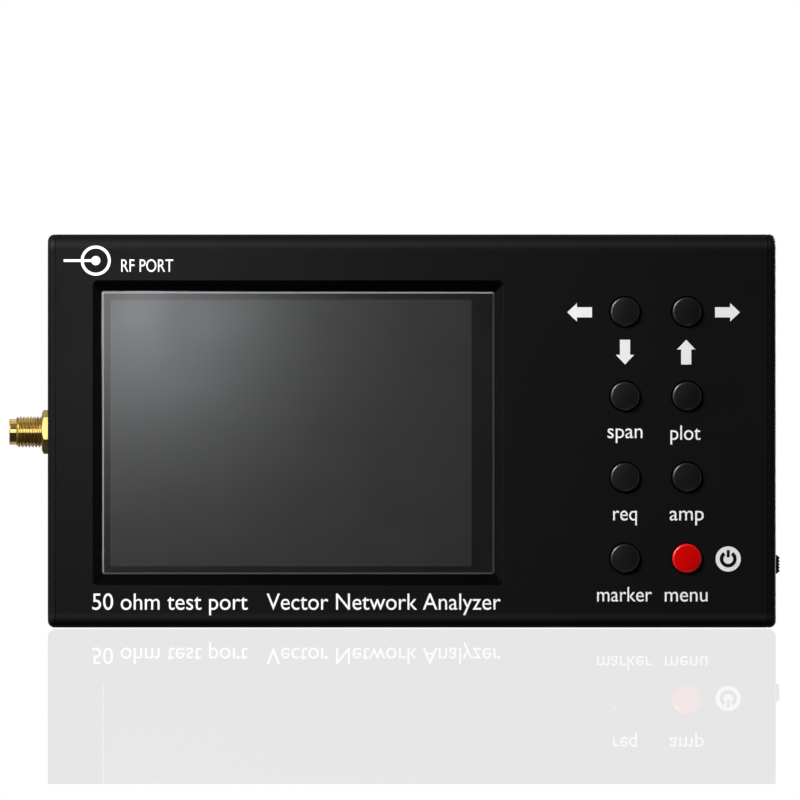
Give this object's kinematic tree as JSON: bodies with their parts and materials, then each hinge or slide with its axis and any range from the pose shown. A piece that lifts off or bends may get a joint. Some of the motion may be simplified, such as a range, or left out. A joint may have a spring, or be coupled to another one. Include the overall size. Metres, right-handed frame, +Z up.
{
  "type": "hand-held vector network analyser",
  "caption": "Slim hand-held vector network analyser with a display window, round push keys, a gold coaxial test port on one end and a slide switch on the other.",
  "frame": {"origin": "centre of the case's bottom face, on the surface that it stands on", "axes": "+X to the right along the case's length, +Y from the display side to the back, +Z up"},
  "size_m": [0.1589, 0.0279, 0.081],
  "materials": {
    "case_black": "near-black satin anodised aluminium, fine grain",
    "screw_black": "black-oxide steel",
    "touch_glass": "dark coated touch glass, glossy",
    "gasket_foam": "soft black foam",
    "polariser_film": "dark polarising film",
    "panel_glass": "dark display glass",
    "backlight_white": "white light guide",
    "bright_steel": "stamped tinned steel",
    "ribbon_film": "amber film",
    "connector_plastic": "cream moulded plastic",
    "board_green": "green solder mask",
    "chip_black": "black moulded epoxy",
    "passive_brown": "tan ceramic",
    "gold_plate": "gold plating over brass, satin bright",
    "ptfe_white": "white PTFE",
    "cell_foil": "silver laminate pouch",
    "tape_cream": "double-sided foam tape",
    "guard_amber": "amber tape over a small board",
    "lead_red": "red insulated wire",
    "light_pipe_clear": "frosted clear acrylic",
    "switch_black": "black moulded nylon, satin",
    "key_black": "black moulded keycap, satin gloss",
    "key_red": "red moulded keycap, satin gloss",
    "switch_base": "black glass-filled plastic",
    "plunger_grey": "dark grey plastic"
  },
  "bodies": {
    "case": {"case_body": "case_black", "left_end_cap": "case_black", "right_end_cap": "case_black", "left_cap_screws": "screw_black", "right_cap_screws": "screw_black", "touch_glass": "touch_glass", "display_gasket": "gasket_foam", "lcd_polariser": "polariser_film", "lcd_panel": "panel_glass", "lcd_backlight": "backlight_white", "lcd_frame": "bright_steel", "lcd_ribbon": "ribbon_film", "ribbon_socket": "connector_plastic", "display_spacers": "gasket_foam", "main_board": "board_green", "processor_chip": "chip_black", "board_chips": "chip_black", "passive_parts": "passive_brown", "rf_chips": "chip_black", "rf_shield_fence": "bright_steel", "rf_shield_cover": "bright_steel", "sma_shell": "gold_plate", "sma_lock_washer": "gold_plate", "sma_nut": "gold_plate", "sma_dielectric": "ptfe_white", "sma_contact": "gold_plate", "battery_cell": "cell_foil", "battery_tape": "tape_cream", "battery_guard_board": "guard_amber", "battery_leads": "lead_red", "battery_plug": "connector_plastic", "battery_socket": "connector_plastic", "usb_shell": "bright_steel", "usb_tongue": "chip_black", "charge_light_pipe": "light_pipe_clear", "charge_led": "backlight_white", "slide_switch_body": "bright_steel", "key_switch_bases": "switch_base"},
    "left_key": {"left_key": "key_black", "left_key_plunger": "plunger_grey"},
    "right_key": {"right_key": "key_black", "right_key_plunger": "plunger_grey"},
    "span_key": {"span_key": "key_black", "span_key_plunger": "plunger_grey"},
    "plot_key": {"plot_key": "key_black", "plot_key_plunger": "plunger_grey"},
    "freq_key": {"freq_key": "key_black", "freq_key_plunger": "plunger_grey"},
    "amp_key": {"amp_key": "key_black", "amp_key_plunger": "plunger_grey"},
    "marker_key": {"marker_key": "key_black", "marker_key_plunger": "plunger_grey"},
    "menu_key": {"menu_key": "key_red", "menu_key_plunger": "plunger_grey"},
    "slide_switch": {"slide_switch_knob": "switch_black", "slide_switch_contact": "gold_plate"}
  },
  "joints": [
    {"name": "left_key_press", "type": "slide", "parent": "case", "child": "left_key", "axis": [0, 1, 0], "range_m": [0, 0.0003], "stiffness_N_per_m": 400, "springref_m": -0.003},
    {"name": "right_key_press", "type": "slide", "parent": "case", "child": "right_key", "axis": [0, 1, 0], "range_m": [0, 0.0003], "stiffness_N_per_m": 400, "springref_m": -0.003},
    {"name": "span_key_press", "type": "slide", "parent": "case", "child": "span_key", "axis": [0, 1, 0], "range_m": [0, 0.0003], "stiffness_N_per_m": 400, "springref_m": -0.003},
    {"name": "plot_key_press", "type": "slide", "parent": "case", "child": "plot_key", "axis": [0, 1, 0], "range_m": [0, 0.0003], "stiffness_N_per_m": 400, "springref_m": -0.003},
    {"name": "freq_key_press", "type": "slide", "parent": "case", "child": "freq_key", "axis": [0, 1, 0], "range_m": [0, 0.0003], "stiffness_N_per_m": 400, "springref_m": -0.003},
    {"name": "amp_key_press", "type": "slide", "parent": "case", "child": "amp_key", "axis": [0, 1, 0], "range_m": [0, 0.0003], "stiffness_N_per_m": 400, "springref_m": -0.003},
    {"name": "marker_key_press", "type": "slide", "parent": "case", "child": "marker_key", "axis": [0, 1, 0], "range_m": [0, 0.0003], "stiffness_N_per_m": 400, "springref_m": -0.003},
    {"name": "menu_key_press", "type": "slide", "parent": "case", "child": "menu_key", "axis": [0, 1, 0], "range_m": [0, 0.0003], "stiffness_N_per_m": 400, "springref_m": -0.003},
    {"name": "slide_switch_travel", "type": "slide", "parent": "case", "child": "slide_switch", "axis": [0, 0, 1], "range_m": [0, 0.002]}
  ]
}
